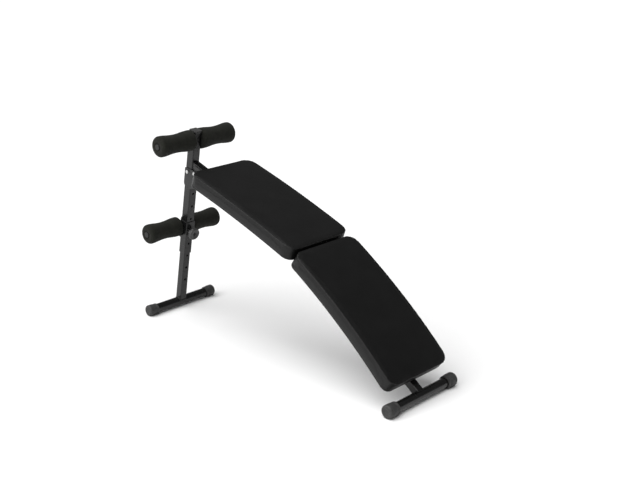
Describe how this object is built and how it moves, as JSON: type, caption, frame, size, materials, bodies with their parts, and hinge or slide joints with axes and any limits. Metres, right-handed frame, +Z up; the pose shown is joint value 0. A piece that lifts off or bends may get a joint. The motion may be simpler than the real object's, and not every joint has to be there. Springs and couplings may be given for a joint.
{
  "type": "decline sit up bench",
  "caption": "Folding decline sit up bench: curved padded boards on square rails, a leaning post with foam leg rollers, round foot bars and rubber caps.",
  "frame": {"origin": "on the floor, in the middle of the bench's length and width", "axes": "+X from the front post with the foam rollers to the low rear foot bar, +Y to the left side, +Z up"},
  "size_m": [1.33, 0.372, 0.7749],
  "materials": {
    "black_steel": "semi-gloss black powder coat",
    "plate_steel": "satin dark grey powder coat",
    "zinc": "bright zinc plate",
    "black_plastic": "fine grained",
    "grey_rubber": "matte",
    "foam": "matte closed cell foam",
    "vinyl": "satin black vinyl coated cloth with a fine grain over foam",
    "board": "dark plywood"
  },
  "bodies": {
    "front_frame": {"front_rail": "black_steel", "front_rail_cap": "black_plastic", "rail_lug_left": "plate_steel", "rail_lug_right": "plate_steel", "front_hinge_plate_left": "plate_steel", "front_hinge_plate_right": "plate_steel", "hinge_spacer": "zinc", "hinge_bolt": "zinc", "hinge_nut": "zinc", "upper_cushion": "vinyl", "upper_bracket_front": "black_steel", "upper_bracket_rear": "black_steel", "upper_bolt_front_left": "zinc", "upper_bolt_front_right": "zinc", "upper_bolt_rear_left": "zinc", "upper_bolt_rear_right": "zinc", "upper_board": "board"},
    "rear_frame": {"rear_rail": "black_steel", "rear_hinge_plate_left": "plate_steel", "rear_hinge_plate_right": "plate_steel", "rear_foot_bar": "black_steel", "rear_foot_cap_left": "grey_rubber", "rear_foot_cap_right": "grey_rubber", "lower_cushion": "vinyl", "lower_bracket_front": "black_steel", "lower_bracket_rear": "black_steel", "lower_bolt_front_left": "zinc", "lower_bolt_front_right": "zinc", "lower_bolt_rear_left": "zinc", "lower_bolt_rear_right": "zinc", "lower_board": "board"},
    "post": {"post_tube": "black_steel", "post_cap": "black_plastic", "post_bracket_left": "plate_steel", "post_bracket_right": "plate_steel", "anchor_bolt": "zinc", "anchor_nut": "zinc", "pivot_bolt": "zinc", "pivot_nut": "zinc", "top_roller_bar": "black_steel", "top_bar_plug_left": "black_plastic", "top_bar_plug_right": "black_plastic"},
    "leg": {"leg_tube": "black_steel", "front_foot_bar": "black_steel", "front_foot_cap_left": "grey_rubber", "front_foot_cap_right": "grey_rubber"},
    "roller_carriage": {"roller_sleeve": "black_steel", "knob_collar": "zinc", "lower_roller_bar": "black_steel", "lower_bar_plug_left": "black_plastic", "lower_bar_plug_right": "black_plastic"},
    "pull_knob": {"pull_knob": "black_plastic"},
    "top_roller_left": {"top_foam_left": "foam"},
    "top_roller_right": {"top_foam_right": "foam"},
    "lower_roller_left": {"lower_foam_left": "foam"},
    "lower_roller_right": {"lower_foam_right": "foam"}
  },
  "joints": [
    {"name": "rear_fold", "type": "hinge", "parent": "front_frame", "child": "rear_frame", "pos_m": [0.11364, 0, 0.33742], "axis": [0, 1, 0], "range_deg": [0, 142]},
    {"name": "post_fold", "type": "hinge", "parent": "front_frame", "child": "post", "pos_m": [-0.49022, 0, 0.60006], "axis": [0, -1, 0], "range_deg": [0, 75]},
    {"name": "leg_slide", "type": "slide", "parent": "post", "child": "leg", "axis": [0.184, 0, 0.9829], "range_m": [0, 0.1671]},
    {"name": "carriage_slide", "type": "slide", "parent": "post", "child": "roller_carriage", "axis": [0.184, 0, 0.9829], "range_m": [-0.0557, 0.1114]},
    {"name": "knob_pull", "type": "slide", "parent": "roller_carriage", "child": "pull_knob", "axis": [0.9829, 0, -0.184], "range_m": [0, 0.008], "stiffness_N_per_m": 900, "springref_m": -0.006},
    {"name": "top_roller_left_spin", "type": "hinge", "parent": "post", "child": "top_roller_left", "pos_m": [-0.50819, 0, 0.73188], "axis": [0, 1, 0], "continuous": true},
    {"name": "top_roller_right_spin", "type": "hinge", "parent": "post", "child": "top_roller_right", "pos_m": [-0.50819, 0, 0.73188], "axis": [0, 1, 0], "continuous": true},
    {"name": "lower_roller_left_spin", "type": "hinge", "parent": "roller_carriage", "child": "lower_roller_left", "pos_m": [-0.61192, 0, 0.35859], "axis": [0, 1, 0], "continuous": true},
    {"name": "lower_roller_right_spin", "type": "hinge", "parent": "roller_carriage", "child": "lower_roller_right", "pos_m": [-0.61192, 0, 0.35859], "axis": [0, 1, 0], "continuous": true}
  ]
}
